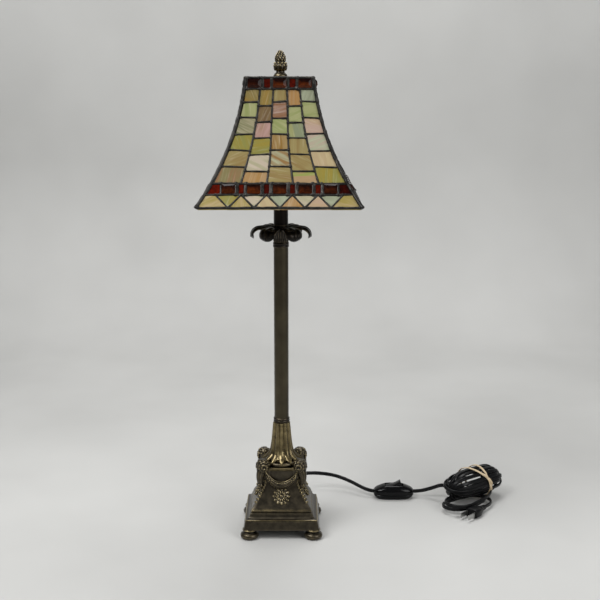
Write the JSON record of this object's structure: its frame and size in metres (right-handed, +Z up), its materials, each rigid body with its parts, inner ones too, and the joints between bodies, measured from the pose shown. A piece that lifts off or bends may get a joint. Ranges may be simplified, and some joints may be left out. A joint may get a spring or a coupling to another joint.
{
  "type": "table lamp",
  "caption": "Buffet table lamp with a square flared leaded-glass shade on a slim bronze column and an ornate square cast base, with an in-line rocker switch on its lead.",
  "frame": {"origin": "on the table, under the centre of the column", "axes": "+Z up, the front faces -Y, the lead runs off to +X"},
  "size_m": [0.4241, 0.2387, 0.6353],
  "materials": {
    "antique_bronze": "cast zinc with an antique bronze plating, rubbed on its edges",
    "satin_bronze": "drawn tube, antique bronze plated, satin",
    "dark_bronze": "dark oil-rubbed bronze",
    "steel": "zinc-plated steel",
    "brass": "plain brass",
    "solder": "tin-lead solder with a black patina",
    "opal_glass": "opalescent streaky art glass",
    "jewel_glass": "pressed faceted garnet glass",
    "red_glass": "deep red cathedral glass",
    "bulb_glass": "frosted bulb glass",
    "phenolic": "moulded phenolic",
    "cord_vinyl": "black vinyl, semi-gloss",
    "switch_black": "black moulded plastic",
    "natural_rubber": "natural rubber band"
  },
  "bodies": {
    "root": {"feet": "antique_bronze", "foot_screws": "steel", "base_plate": "steel", "plinth": "antique_bronze", "pedestal": "antique_bronze", "ram_heads": "antique_bronze", "garlands": "antique_bronze", "rosettes": "antique_bronze", "husk_drops": "antique_bronze", "saucer": "antique_bronze", "flute_cup": "antique_bronze", "lower_collar": "dark_bronze", "column_tube": "satin_bronze", "upper_collar": "dark_bronze", "capital_cup": "dark_bronze", "leaf_crown": "dark_bronze", "upper_tube": "dark_bronze", "threaded_pipe": "brass", "pipe_washer": "steel", "pipe_nut": "brass", "harp_saddle": "brass", "harp_ferrules": "brass", "harp": "brass", "socket_cap": "brass", "socket_shell": "brass", "socket_liner": "phenolic", "screw_shell": "brass", "centre_contact": "brass", "inner_lead": "cord_vinyl", "strain_relief": "cord_vinyl", "lead_tube": "cord_vinyl", "switch_lower": "switch_black", "switch_upper": "switch_black", "switch_screws": "steel", "rocker_pin": "steel", "tail_tube": "cord_vinyl", "bundle_upper": "cord_vinyl", "bundle_lower": "cord_vinyl", "rubber_band": "natural_rubber", "plug_body": "cord_vinyl", "plug_blades": "steel"},
    "rocker": {"rocker": "switch_black"},
    "bulb": {"bulb_base": "steel", "bulb_glass": "bulb_glass"},
    "washer": {"shade_washer": "steel"},
    "shade": {"shade_spider": "brass", "came_front": "solder", "came_right": "solder", "came_back": "solder", "came_left": "solder", "corner_seams": "solder", "rim_wires": "solder", "glass_front": "opal_glass", "glass_right": "opal_glass", "glass_back": "opal_glass", "glass_left": "opal_glass", "skirt_glass": "opal_glass", "jewels": "jewel_glass", "red_bars": "red_glass"},
    "finial": {"finial": "antique_bronze"}
  },
  "joints": [
    {"name": "rocker_tilt", "type": "hinge", "parent": "root", "child": "rocker", "pos_m": [0.161, 0.101, 0.013], "axis": [0, 1, 0], "range_deg": [0, 22]},
    {"name": "bulb_turn", "type": "hinge", "parent": "root", "child": "bulb", "pos_m": [0, 0, 0.49], "axis": [0, 0, 1], "continuous": true},
    {"name": "shade_lift", "type": "slide", "parent": "root", "child": "washer", "axis": [0, 0, 1], "range_m": [0, 0.18]},
    {"name": "shade_turn", "type": "hinge", "parent": "washer", "child": "shade", "pos_m": [0, 0, 0.6], "axis": [0, 0, 1], "continuous": true},
    {"name": "finial_turn", "type": "hinge", "parent": "shade", "child": "finial", "pos_m": [0, 0, 0.61], "axis": [0, 0, 1], "continuous": true}
  ]
}
